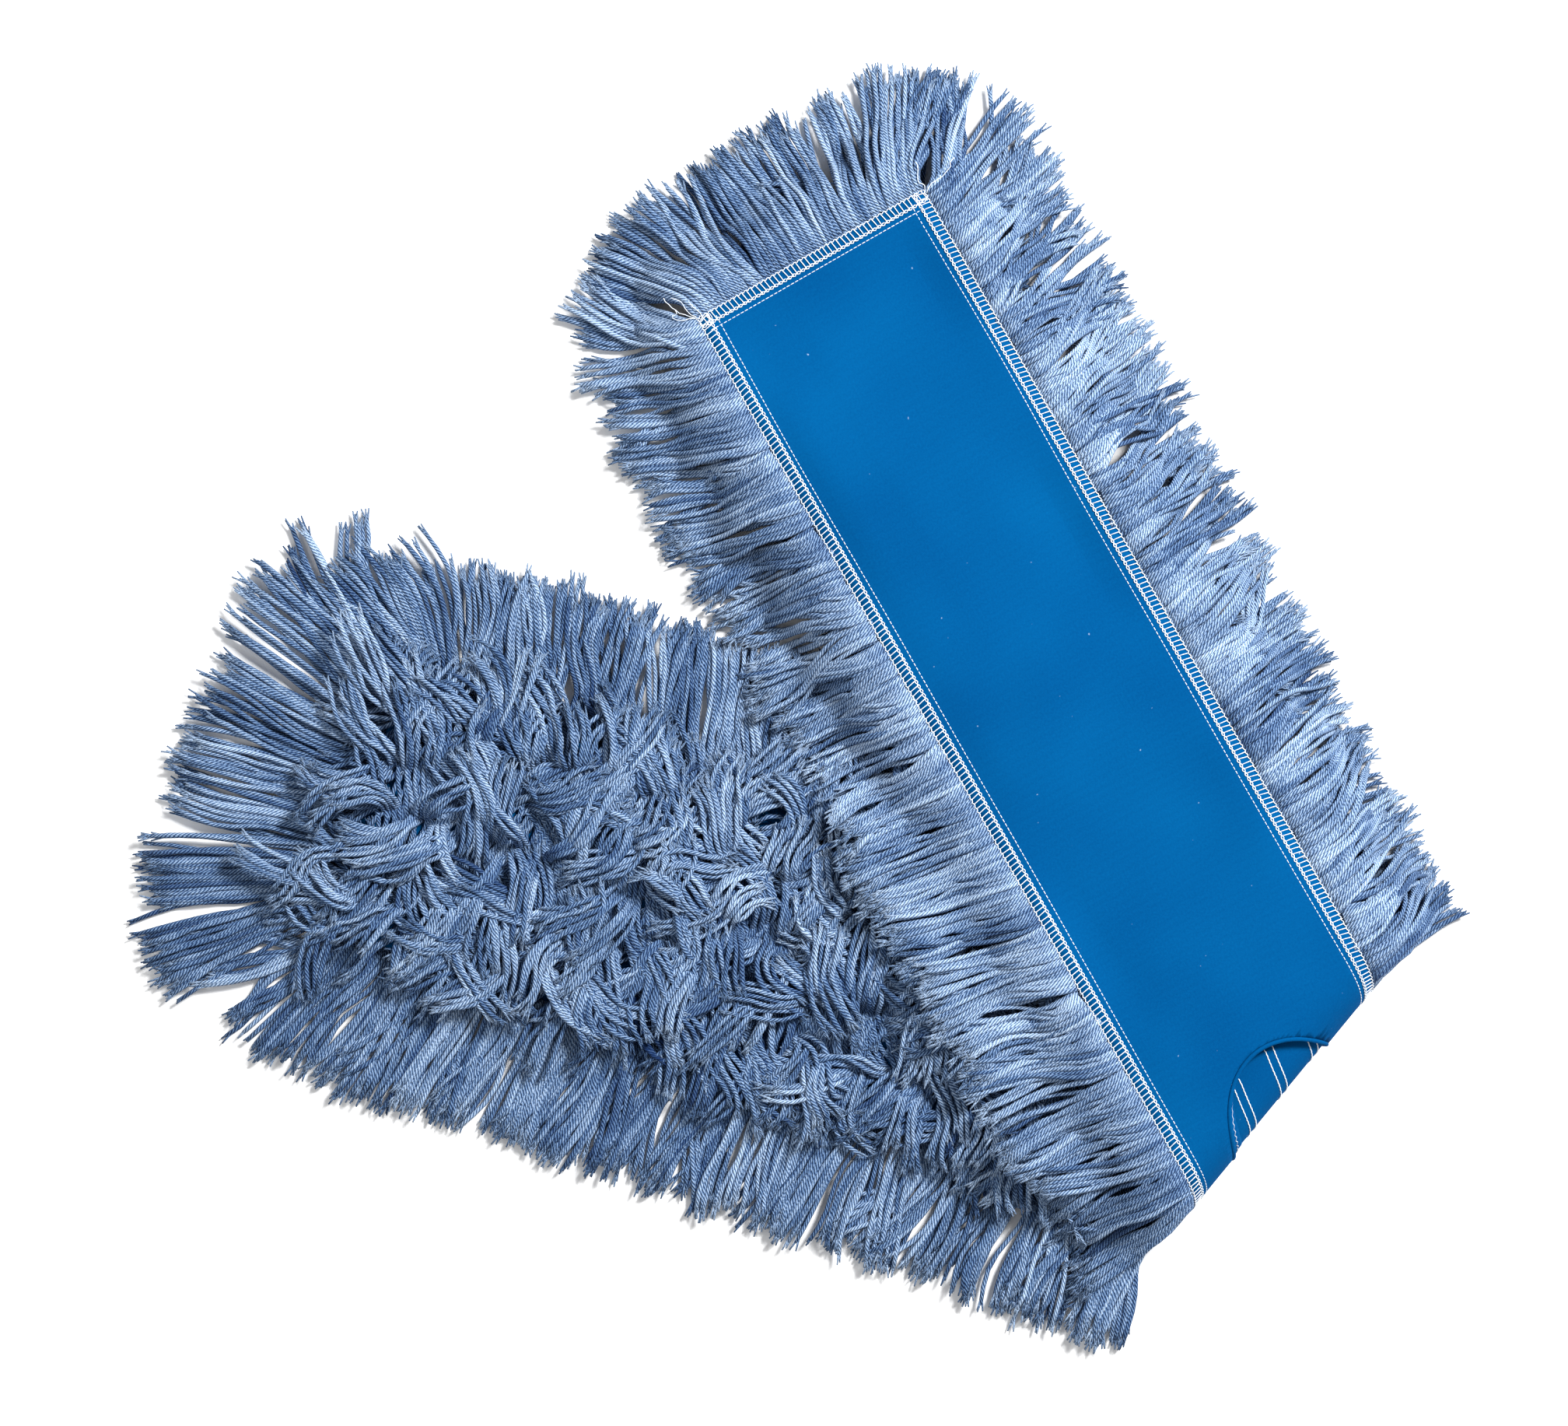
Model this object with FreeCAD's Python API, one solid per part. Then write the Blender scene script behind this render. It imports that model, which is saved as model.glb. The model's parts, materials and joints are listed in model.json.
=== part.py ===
"""Dust-mop head of twisted string yarn, lying folded across its middle.

The head is a long strip: a twill pocket cloth and a base cloth overlocked together
round their edge, with a slot in the middle of the pocket cloth for the folding frame,
rows of cut yarn tufts sewn through the base cloth and a long yarn fringe all round.

It lies folded over, yarn inside the fold. The lower half runs along -X with its
pocket cloth on the floor, the upper half comes back over it at twice the skew angle.
The origin is on the floor under the middle of the folded head, +Z is up.

The flat strip is measured by a (along it, 0 at the fold) and b (across it). The fold
line runs at a skew, so p = distance from the fold line and q = distance along it.
Rolled up round the fold, p becomes the profile (u, z): u points out through the fold.
Depth is measured from the pocket cloth's outer face towards the yarn.
"""
import FreeCAD, Part
import math
import os

from FreeCAD import Vector

# ---------------------------------------------------------------- driving sizes, mm
BACKING_WIDTH = 124.0
HALF_LENGTH = 475.0
FRINGE_LENGTH = 74.0
LOWER_END_FRINGE = 94.0     # the yarn at the open half's end spreads further out
FOLD_SKEW = 21.0            # degrees between the fold line and straight across
FOLD_RADIUS = 22.0          # outer radius of the roll at the fold
UPPER_SLOPE = 2.6           # degrees that the upper half falls from fold to far end

POCKET_CLOTH = 0.8          # thickness of the twill that makes the pocket
POCKET_GAP = 7.0            # room for the frame's wing
BASE_CLOTH = 1.0            # thickness of the cloth that carries the yarn
EDGE_BAND = 1.2             # overlocked edge that joins the two cloths

LOWER_PILE_DEPTH = 30.0     # loose yarn on the open half, from the outer face
UPPER_PILE_DEPTH = 21.0     # yarn pressed flat under the upper half
LOWER_FRINGE = (0.0, 10.0)  # depth range of the fringe lying on the floor
UPPER_FRINGE = (5.0, 20.0)  # depth range of the fringe on the upper half
TUFT_ROWS = 5
ROW_GAP = 0.6               # daylight between neighbouring rows of tufts

SLOT_ACROSS = 68.0          # centre slot, measured across the strip
SLOT_REACH = 28.0           # from the fold to the slot's end, seen from above
HEM_WIDTH = 6.0
HEM_THICKNESS = 1.4
ZIGZAG_WIDTH = 2.6
ZIGZAG_INSET = 1.7          # from the slot's rim to the zigzag

THREAD = 0.5                # height of a line of sewing thread
THREAD_WIDTH = 0.9
TOPSTITCH_INSET = 8.0       # from the cloth's edge to the lockstitch
ROW_STITCH_SPREAD = 4.0     # between the two seams of one row

HALF_CLEARANCE = 0.3        # between the two halves where they meet
SIDE_CLEARANCE = 1.5        # beside the upper half, where the lower yarn stands up
SEAT = 0.1                  # free play round a sewn or seated piece

# ------------------------------------------------------------------ derived values
SKEW = math.radians(FOLD_SKEW)
SLOPE = math.radians(UPPER_SLOPE)
HALF_WIDTH = BACKING_WIDTH / 2
CLOTH_END = HALF_LENGTH
BAND_EDGE = HALF_WIDTH + EDGE_BAND
BAND_END = CLOTH_END + EDGE_BAND
FRINGE_EDGE = BAND_EDGE + FRINGE_LENGTH
FRINGE_END = BAND_END + FRINGE_LENGTH

BASE_TOP = POCKET_CLOTH + POCKET_GAP
YARN_START = BASE_TOP + BASE_CLOTH
ROW_PITCH = (BACKING_WIDTH - 2 * TOPSTITCH_INSET) / TUFT_ROWS

FOLD_LINE = Vector(math.sin(SKEW), math.cos(SKEW), 0)
OUTWARD = Vector(math.cos(SKEW), -math.sin(SKEW), 0)
UP = Vector(0, 0, 1)
REACH = 2 * (BAND_END + LOWER_END_FRINGE + FRINGE_EDGE)   # longer than anything in the model

# The hinge line lies just outside the roll, so that the halves clear when opened.
HINGE_RADIUS = FOLD_RADIUS + HALF_CLEARANCE / 2
HINGE_U = -FOLD_RADIUS + HINGE_RADIUS * math.cos(SLOPE / 2)
HINGE_Z = FOLD_RADIUS + HINGE_RADIUS * math.sin(SLOPE / 2)


# ---------------------------------------------------------------------- geometry
def space(u, q, z):
    """A point from fold coordinates: out through the fold, along it, and up."""
    return OUTWARD * u + FOLD_LINE * q + UP * z


def prism(points, direction):
    """A solid from a closed outline of points, pushed along a direction."""
    outline = Part.makePolygon(points + [points[0]])
    return Part.Face(outline).extrude(direction)


def rolled(half, depth):
    """The profile's far end, tangent point, and two points on its roll, as (u, z)."""
    radius = FOLD_RADIUS - depth
    lower = half == "lower"
    heading = math.pi if lower else math.pi + SLOPE
    tangent = -math.pi / 2 if lower else math.pi / 2 + SLOPE
    past_split = SLOPE if lower else -SLOPE
    profile = []
    for angle in (tangent, tangent, tangent / 2, past_split):
        across, height = radius * math.cos(angle), radius * math.sin(angle)
        profile.append((across - FOLD_RADIUS, height + FOLD_RADIUS))
    run = REACH / 2
    profile[0] = (profile[0][0] + run * math.cos(heading), profile[0][1] + run * math.sin(heading))
    return profile


def layer(half, near, far, round_fold):
    """The whole layer between two depths, with or without its quarter roll."""
    rows = []
    for depth in (near, far):
        points = [space(u, -REACH / 2, z) for u, z in rolled(half, depth)]
        edges = [Part.makeLine(points[0], points[1])]
        if round_fold:
            edges.append(Part.Arc(points[1], points[2], points[3]).toShape())
        rows.append((points[0], edges, points[3] if round_fold else points[1]))
    (start_a, edges_a, end_a), (start_b, edges_b, end_b) = rows
    closing = [Part.makeLine(start_a, start_b), Part.makeLine(end_a, end_b)]
    wire = Part.Wire(Part.__sortEdges__(edges_a + edges_b + closing))
    return Part.Face(wire).extrude(FOLD_LINE * REACH)


def split_side(half):
    """The half space on one side of the sloping plane where the two halves meet."""
    side = 1 if half == "upper" else -1
    normal = OUTWARD * -math.sin(SLOPE) + UP * math.cos(SLOPE)
    inward = OUTWARD * -math.cos(SLOPE) - UP * math.sin(SLOPE)
    middle = space(HINGE_U, 0, HINGE_Z) + normal * (side * HALF_CLEARANCE / 2)
    corners = []
    for along, across in ((-1, -1), (1, -1), (1, 1), (-1, 1)):
        corners.append(middle + inward * (along * REACH / 2) + FOLD_LINE * (across * REACH / 2))
    return prism(corners, normal * (side * REACH / 4))


def plan_point(half, a, b):
    """Where a point of the flat strip comes to lie in plan, on the straight run."""
    p = a * math.cos(SKEW) - b * math.sin(SKEW)
    q = a * math.sin(SKEW) + b * math.cos(SKEW)
    if half == "lower":
        return OUTWARD * (p + (math.pi / 2 - 1) * FOLD_RADIUS) + FOLD_LINE * q
    run = p - FOLD_RADIUS * (math.pi / 2 + SLOPE)
    u = -FOLD_RADIUS - FOLD_RADIUS * math.sin(SLOPE) - run * math.cos(SLOPE)
    return OUTWARD * u + FOLD_LINE * q


def fold_point(half, b, u):
    """Where the line of constant b crosses the roll, at its tangent or at the crest."""
    sign = -1 if half == "lower" else 1
    run = sign * math.pi / 2 * -u
    return OUTWARD * u + FOLD_LINE * (run * math.tan(SKEW) + b / math.cos(SKEW))


def footprint(half, b_from, b_to, a_from, a_to):
    """The plan outline of a piece of one half; a_from of 0 means right up to the crest."""
    sign = -1 if half == "lower" else 1
    outline = [plan_point(half, sign * a_to, b_from), plan_point(half, sign * a_to, b_to)]
    if a_from:
        outline += [plan_point(half, sign * a_from, b_to), plan_point(half, sign * a_from, b_from)]
    else:
        past = OUTWARD * FOLD_RADIUS
        for b in (b_to, b_from):
            turn = [fold_point(half, b, -FOLD_RADIUS), fold_point(half, b, 0)]
            turn.append(turn[1] + past)
            outline += turn if b == b_to else turn[::-1]
    return prism([point - UP * FOLD_RADIUS for point in outline], UP * (4 * FOLD_RADIUS))


def block(half, across, along, depth, round_fold=True):
    """One piece of the strip: b range, a range and depth range, rolled round the fold."""
    shape = layer(half, depth[0], depth[1], round_fold)
    shape = shape.common(footprint(half, across[0], across[1], along[0], along[1]))
    return shape.common(ROOM[half])


def slot_prism(half, offset):
    """The slot's outline, grown by an offset, as an upright elliptical prism."""
    along, across = SLOT_REACH + offset, SLOT_ACROSS / 2 + offset
    turn = 0 if half == "lower" else 180 - 2 * FOLD_SKEW
    ellipse = Part.Ellipse(Vector(0, 0, 0), max(along, across), min(along, across))
    wire = Part.Wire([ellipse.toShape()])
    if across > along:
        wire.rotate(Vector(0, 0, 0), UP, 90)
    wire.rotate(Vector(0, 0, 0), UP, turn)
    wire.translate(UP * -FOLD_RADIUS)
    return Part.Face(wire).extrude(UP * (4 * FOLD_RADIUS))


def slot_ring(half, inner, outer, depth):
    """A band round the slot, between two offsets from its rim."""
    across = (-HALF_WIDTH, HALF_WIDTH)
    band = block(half, across, (0, CLOTH_END), depth)
    return band.common(slot_prism(half, outer)).cut(slot_prism(half, inner))


def lower_room():
    """Below the upper half the lower one keeps under the split; beside it, it is free."""
    edge = FRINGE_EDGE + SIDE_CLEARANCE
    over = footprint("upper", -edge, edge, 0, FRINGE_END + SIDE_CLEARANCE)
    corner = Vector(-REACH / 2, -REACH / 2, -FOLD_RADIUS)
    open_room = Part.makeBox(REACH, REACH, 4 * FOLD_RADIUS, corner)
    return split_side("lower").fuse(open_room.cut(over))


ROOM = {"lower": lower_room(), "upper": split_side("upper")}


# ------------------------------------------------------------------------ pieces
def thread_lines():
    """Topstitch runs by name: b range and a range of each line of lockstitch."""
    line = HALF_WIDTH - TOPSTITCH_INSET
    end = CLOTH_END - TOPSTITCH_INSET
    half_thread = THREAD_WIDTH / 2
    inner_end = end - half_thread - SEAT
    return {
        "topstitch_left": ((-line - half_thread, -line + half_thread), (0, inner_end)),
        "topstitch_right": ((line - half_thread, line + half_thread), (0, inner_end)),
        "topstitch_end": ((-line, line), (end - half_thread, end + half_thread)),
    }


def cloths(half):
    """The two cloths, the pocket cloth with its slot and its stitch grooves."""
    across = (-HALF_WIDTH, HALF_WIDTH)
    along = (0, CLOTH_END)
    pocket = block(half, across, along, (0, POCKET_CLOTH)).cut(slot_prism(half, 0))
    for line_across, line_along in thread_lines().values():
        wide = (line_across[0] - SEAT, line_across[1] + SEAT)
        start = line_along[0] - SEAT if line_along[0] else 0
        pocket = pocket.cut(block(half, wide, (start, line_along[1] + SEAT), (0, THREAD)))
    base = block(half, across, along, (BASE_TOP, YARN_START))
    return {"pocket_cloth": pocket, "base_cloth": base}


def slot_trim(half):
    """The turned hem round the slot, and the zigzag that holds it."""
    hem_depth = (POCKET_CLOTH, POCKET_CLOTH + HEM_THICKNESS)
    zigzag_depth = (hem_depth[1], hem_depth[1] + THREAD)
    zigzag_end = ZIGZAG_INSET + ZIGZAG_WIDTH
    return {
        "slot_hem": slot_ring(half, 0, HEM_WIDTH, hem_depth),
        "slot_zigzag": slot_ring(half, ZIGZAG_INSET, zigzag_end, zigzag_depth),
    }


def sewing(half):
    """The overlocked edge, the lockstitch inside it and the seams of the tuft rows."""
    depth = (0, YARN_START)
    pieces = {
        "overlock_left": block(half, (-BAND_EDGE, -HALF_WIDTH), (0, CLOTH_END), depth),
        "overlock_right": block(half, (HALF_WIDTH, BAND_EDGE), (0, CLOTH_END), depth),
        "overlock_end": block(half, (-BAND_EDGE, BAND_EDGE), (CLOTH_END, BAND_END), depth),
    }
    for name, (across, along) in thread_lines().items():
        pieces[name] = block(half, across, along, (0, THREAD))
    seams = []
    for row in range(TUFT_ROWS):
        for seam in (-1, 1):
            middle = row_middle(row) + seam * ROW_STITCH_SPREAD / 2
            across = (middle - THREAD_WIDTH / 2, middle + THREAD_WIDTH / 2)
            along = (0, CLOTH_END - TOPSTITCH_INSET)
            seams.append(block(half, across, along, (BASE_TOP - THREAD, BASE_TOP)))
    pieces["row_stitches"] = Part.makeCompound(seams)
    return pieces


def row_middle(row):
    """Where a row of tufts is sewn, across the strip."""
    return (row - (TUFT_ROWS - 1) / 2) * ROW_PITCH


def yarn(half):
    """Rows of tufts under the base cloth, and the long fringe round its edge."""
    fringe = LOWER_FRINGE if half == "lower" else UPPER_FRINGE
    pile = LOWER_PILE_DEPTH if half == "lower" else UPPER_PILE_DEPTH
    side = (0, BAND_END)
    end = BAND_END + (LOWER_END_FRINGE if half == "lower" else FRINGE_LENGTH)
    pieces = {
        "fringe_left": block(half, (-FRINGE_EDGE, -BAND_EDGE), side, fringe),
        "fringe_right": block(half, (BAND_EDGE, FRINGE_EDGE), side, fringe),
        "fringe_end": block(half, (-FRINGE_EDGE, FRINGE_EDGE), (BAND_END, end), fringe),
    }
    for row in range(TUFT_ROWS):
        middle = row_middle(row)
        half_row = (ROW_PITCH - ROW_GAP) / 2
        across = (middle - half_row, middle + half_row)
        tufts = block(half, across, (0, CLOTH_END), (YARN_START, pile), False)
        pieces["tuft_row_%d" % (row + 1)] = tufts
    return pieces


# ------------------------------------------------------------------------ output
def main():
    os.makedirs("parts", exist_ok=True)
    pieces = {}
    for half in ("lower", "upper"):
        for group in (cloths, slot_trim, sewing, yarn):
            for name, shape in group(half).items():
                pieces["%s_%s" % (name, half)] = shape
    whole = FreeCAD.BoundBox()
    for shape in pieces.values():
        whole.add(shape.BoundBox)
    origin = Vector(whole.Center.x, whole.Center.y, 0)
    for name, shape in pieces.items():
        shape.translate(-origin)
        shape.exportStep("parts/%s.step" % name)
    print("hinge at", space(HINGE_U, 0, HINGE_Z) - origin, "along", FOLD_LINE)
    print("lies flat when opened by", 180 + UPPER_SLOPE, "degrees; origin was at", origin)


main()
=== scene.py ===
# %% [markdown]
# # A dust-mop head, folded over
# A flat dust-mop head is a long strip: two blue cloths sewn together at the edge, rows of
# cut yarn on one face and a long fringe all round. This one lies folded across its
# middle, so half of it shows cloth and half shows yarn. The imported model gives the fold,
# the sizes and the two bodies that turn about the fold line. Everything here is made
# flat, as it is cut and sewn, and then folded up by one formula.

# %% Load the frame
import json
import math
import random

import bmesh
import bpy
import numpy as np
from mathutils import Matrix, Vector, noise


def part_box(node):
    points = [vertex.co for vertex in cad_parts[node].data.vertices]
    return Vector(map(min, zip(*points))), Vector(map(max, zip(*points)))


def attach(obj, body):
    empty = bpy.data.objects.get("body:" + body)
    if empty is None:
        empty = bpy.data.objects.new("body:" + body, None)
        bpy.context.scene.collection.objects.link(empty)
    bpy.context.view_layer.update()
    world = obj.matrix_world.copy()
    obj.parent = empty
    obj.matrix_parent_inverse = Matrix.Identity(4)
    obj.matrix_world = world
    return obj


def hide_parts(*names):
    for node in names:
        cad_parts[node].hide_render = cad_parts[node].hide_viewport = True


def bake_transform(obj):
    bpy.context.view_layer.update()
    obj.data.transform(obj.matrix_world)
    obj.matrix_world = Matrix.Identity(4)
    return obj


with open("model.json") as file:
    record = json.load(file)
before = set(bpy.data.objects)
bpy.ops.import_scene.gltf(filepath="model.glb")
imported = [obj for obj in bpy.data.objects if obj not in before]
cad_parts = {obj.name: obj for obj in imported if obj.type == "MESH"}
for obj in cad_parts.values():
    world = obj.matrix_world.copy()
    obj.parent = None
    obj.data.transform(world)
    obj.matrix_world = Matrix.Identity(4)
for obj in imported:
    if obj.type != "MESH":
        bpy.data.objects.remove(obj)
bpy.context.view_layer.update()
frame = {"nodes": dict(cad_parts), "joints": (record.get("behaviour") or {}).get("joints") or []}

MM = 0.001
UP = Vector((0, 0, 1))

# %% [markdown]
# ## The fold
# Cloth bends but does not stretch, so a folded strip is a flat one rolled up: straight
# runs joined by a round roll. That can be written as a formula from a flat place
# (along the strip, across it, depth below its outer face) to a place in space. It could
# also be bent with a modifier, but a formula also folds threads and yarn roots, and
# gives the same place to pieces that are sewn together.

# %% Sizes of the strip, read from the frame
fold_joint = frame["joints"][0]
hinge = Vector(fold_joint["pos_m"])
FOLD_LINE = Vector(fold_joint["axis"]).normalized()
OUTWARD = FOLD_LINE.cross(UP)
SKEW = math.atan2(FOLD_LINE.x, FOLD_LINE.y)
SLOPE = math.radians(2.6)                  # the upper half falls this much to its far end
HINGE_PLAY = 0.144 * MM                    # the hinge line stands this far outside the roll
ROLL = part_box("pocket_cloth_upper")[1].z / 2
ORIGIN = Vector((hinge.x, hinge.y, 0)) - OUTWARD * HINGE_PLAY
end_low, end_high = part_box("overlock_end_lower")
BAND = end_high.x - end_low.x              # the overlocked edge outside the cloths
HALF_WIDTH = (end_high.y - end_low.y) / 2 - BAND
HALF_LENGTH = ORIGIN.x + (math.pi / 2 - 1) * ROLL * OUTWARD.x - end_high.x
fringe_low, fringe_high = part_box("fringe_end_lower")
END_FRINGE = fringe_high.x - fringe_low.x  # longer at the open half's end
FRINGE = (fringe_high.y - fringe_low.y) / 2 - HALF_WIDTH - BAND
print("half width %.4f, half length %.4f, roll %.4f" % (HALF_WIDTH, HALF_LENGTH, ROLL))
print("fringe %.4f, end fringe %.4f" % (FRINGE, END_FRINGE))


# %% The folding formula
def from_fold(along, across):
    """How far a flat place is from the fold line, negative in the lower half."""
    return along * math.cos(SKEW) - across * math.sin(SKEW)


def folded(flat):
    """Places in space for flat places given as rows of (along, across, depth)."""
    along, across, depth = np.asarray(flat, float).reshape(-1, 3).T
    away = from_fold(along, across)
    beside = along * math.sin(SKEW) + across * math.cos(SKEW)
    turn = np.clip(away / ROLL, -math.pi / 2, math.pi / 2 + SLOPE)
    run = away - turn * ROLL
    radius = ROLL - depth
    out = radius * np.cos(turn) - ROLL + np.where(run < 0, run, -run * math.cos(SLOPE))
    height = radius * np.sin(turn) + ROLL - np.where(run > 0, run, 0) * math.sin(SLOPE)
    plan = np.outer(out, OUTWARD) + np.outer(beside, FOLD_LINE) + np.outer(height, UP)
    return plan + np.array(ORIGIN)


def smooth(value):
    """0 to 1 with soft ends, for numbers and arrays."""
    value = np.clip(value, 0, 1)
    return value * value * (3 - 2 * value)


def bend_at_fold(piece):
    """Bakes a piece's transform into its mesh; it keeps the shape it was folded to."""
    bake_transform(piece)


# %% [markdown]
# ## Camera, floor and light
# The head lies on a pale floor and is seen from straight above, so the camera looks down
# with a long lens. It is rolled, because the frame lays one half along an axis.

# %% Camera
CAMERA_ROLL = math.radians(18.4)
CAMERA_HEIGHT = 1.8
VIEW_WIDTH = 0.758
FOLD_RIGHT = 0.237                         # the fold's middle, right of the view's middle
FOLD_DOWN = 0.186                          # and below it

camera_data = bpy.data.cameras.new("camera")
camera_data.lens = camera_data.sensor_width * CAMERA_HEIGHT / VIEW_WIDTH
camera = bpy.data.objects.new("camera", camera_data)
right = Vector((math.cos(CAMERA_ROLL), math.sin(CAMERA_ROLL), 0))
aim = ORIGIN - right * FOLD_RIGHT + UP.cross(right) * FOLD_DOWN
camera.location = aim + UP * CAMERA_HEIGHT
camera.rotation_euler = (0, 0, CAMERA_ROLL)
bpy.context.scene.collection.objects.link(camera)
bpy.context.scene.camera = camera
print("lens %.1f mm" % camera_data.lens)


# %% Light and floor
def soft_light(name, place, size, power):
    """A square light that looks at the middle of the head."""
    data = bpy.data.lights.new(name, "AREA")
    data.size = size
    data.energy = power
    light = bpy.data.objects.new(name, data)
    light.location = place
    light.rotation_euler = (-Vector(place)).to_track_quat("-Z", "Y").to_euler()
    bpy.context.scene.collection.objects.link(light)


soft_light("key", place=(0.8, 1.4, 1.9), size=0.6, power=118)
soft_light("fill", place=(-1.5, -0.8, 1.6), size=1.6, power=14)

world = bpy.data.worlds.new("studio")
bpy.context.scene.world = world
world.use_nodes = True
backdrop = world.node_tree.nodes["Background"]
backdrop.inputs["Color"].default_value = (1, 1, 1, 1)
backdrop.inputs["Strength"].default_value = 0.34
bpy.context.scene.view_settings.view_transform = "Standard"

FLOOR_REACH = 4
FLOOR_BELOW = 0.2 * MM                     # so the lowest thread doesn't touch it
floor_mesh = bmesh.new()
bmesh.ops.create_grid(floor_mesh, x_segments=1, y_segments=1, size=FLOOR_REACH)
bmesh.ops.translate(floor_mesh, verts=floor_mesh.verts, vec=-UP * FLOOR_BELOW)
floor_data = bpy.data.meshes.new("floor")
floor_mesh.to_mesh(floor_data)
floor = bpy.data.objects.new("floor", floor_data)
bpy.context.scene.collection.objects.link(floor)

# %% [markdown]
# ## Writing shaders as sums
# A material is a network of nodes. Written one call at a time it is hard to read, so a
# small class wraps a socket and lets Python's own operators add the Math nodes.


# %% Shader helpers
class Wire:
    """A socket that + - * and / work on; each adds one Math node."""

    def __init__(self, finish, socket):
        self.finish = finish
        self.socket = socket

    def math(self, operation, *values):
        return self.finish.add("ShaderNodeMath", {"operation": operation}, (self, *values))

    def __add__(self, other):
        return self.math("ADD", other)

    def __sub__(self, other):
        return self.math("SUBTRACT", other)

    def __rsub__(self, other):
        return self.finish.add("ShaderNodeMath", {"operation": "SUBTRACT"}, (other, self))

    def __mul__(self, other):
        return self.math("MULTIPLY", other)

    def __truediv__(self, other):
        return self.math("DIVIDE", other)

    def ridges(self):
        """Round ridges from 0 to 1, one for each whole number."""
        return (self * math.pi).math("SINE").math("ABSOLUTE")

    __radd__ = __add__
    __rmul__ = __mul__


class Finish:
    """One material. Every node goes in through add()."""

    def __init__(self, name, roughness, sheen=0.0):
        self.material = bpy.data.materials.new(name)
        self.material.use_nodes = True
        self.tree = self.material.node_tree
        self.surface = self.tree.nodes["Principled BSDF"]
        self.surface.inputs["Roughness"].default_value = roughness
        self.surface.inputs["Specular IOR Level"].default_value = 0.25
        self.surface.inputs["Sheen Weight"].default_value = sheen

    def add(self, kind, settings=None, values=(), output=0):
        """A node of one kind: its settings, then the values or wires of its sockets."""
        node = self.tree.nodes.new(kind)
        for key, value in (settings or {}).items():
            setattr(node, key, value)
        pairs = values.items() if isinstance(values, dict) else enumerate(values)
        for key, value in pairs:
            if isinstance(value, Wire):
                self.tree.links.new(value.socket, node.inputs[key])
            else:
                node.inputs[key].default_value = value
        return Wire(self, node.outputs[output])

    def blend(self, share, first, second):
        """A colour between two colours."""
        values = {0: share, 6: first, 7: second}
        return self.add("ShaderNodeMix", {"data_type": "RGBA", "clamp_factor": True}, values, 2)

    def ramp(self, value, low, high):
        """0 below low, 1 above high."""
        values = {"Value": value, "From Min": low, "From Max": high}
        return self.add("ShaderNodeMapRange", {"clamp": True}, values)

    def speckle(self, place, scale, detail=2.0):
        """Cloudy noise from 0 to 1."""
        return self.add("ShaderNodeTexNoise", None, {"Vector": place, "Scale": scale, "Detail": detail})

    def colour(self, wire):
        self.tree.links.new(wire.socket, self.surface.inputs["Base Color"])

    def relief(self, height, depth):
        """Bump from a height, with its real depth in metres."""
        values = {"Height": height, "Distance": depth, "Strength": 1.0}
        bump = self.add("ShaderNodeBump", None, values)
        self.tree.links.new(bump.socket, self.surface.inputs["Normal"])


# %% [markdown]
# ## The four finishes
# The cloth is a close twill, so its fine diagonal ribs follow the flat cloth's own
# coordinates. The yarn is four plies twisted together. At this size the twist is a
# pattern on a round strand: diagonal grooves that run round it, read from the strand's
# own coordinates, and darkened to navy as painted shade. Each strand also carries its
# own tint: uneven dye, as dyed yarn is never even, plus painted shade that darkens
# strands lying low, under others or in the pile.

# %% Twill, yarn, thread and floor
TWILL_RIB = 0.75 * MM
YARN_PLIES = 4
YARN_TWIST = 8.2 * MM                      # length of one full twist


def twill_finish():
    """Close blue twill with soft shading and a few specks of lint."""
    twill = Finish("blue_twill", roughness=0.85)
    twill.surface.inputs["Specular IOR Level"].default_value = 0.02
    place = twill.add("ShaderNodeUVMap", {"uv_map": "UVMap"})
    across = twill.add("ShaderNodeSeparateXYZ", None, [place])
    along = twill.add("ShaderNodeSeparateXYZ", None, [place], output=1)
    ribs = ((across + along * 1.6) / TWILL_RIB).ridges()
    cloudy = twill.speckle(place, 9, 2)
    grain = twill.speckle(place, 900, 2)
    shade = cloudy * 0.7 + grain * 0.3
    body = twill.blend(twill.ramp(shade, 0.35, 0.66), (0.0, 0.067, 0.208, 1), (0.0005, 0.106, 0.292, 1))
    ribbed = twill.blend(ribs * 0.22, twill.blend(0.25, body, (0.0, 0.05, 0.22, 1)), body)
    lint = twill.ramp(twill.speckle(place, 340, 1), 0.79, 0.84)
    twill.colour(twill.blend(lint * 0.55, ribbed, (0.45, 0.62, 0.8, 1)))
    twill.relief(ribs * 0.7 + grain * 0.6, 0.12 * MM)
    return twill.material


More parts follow.
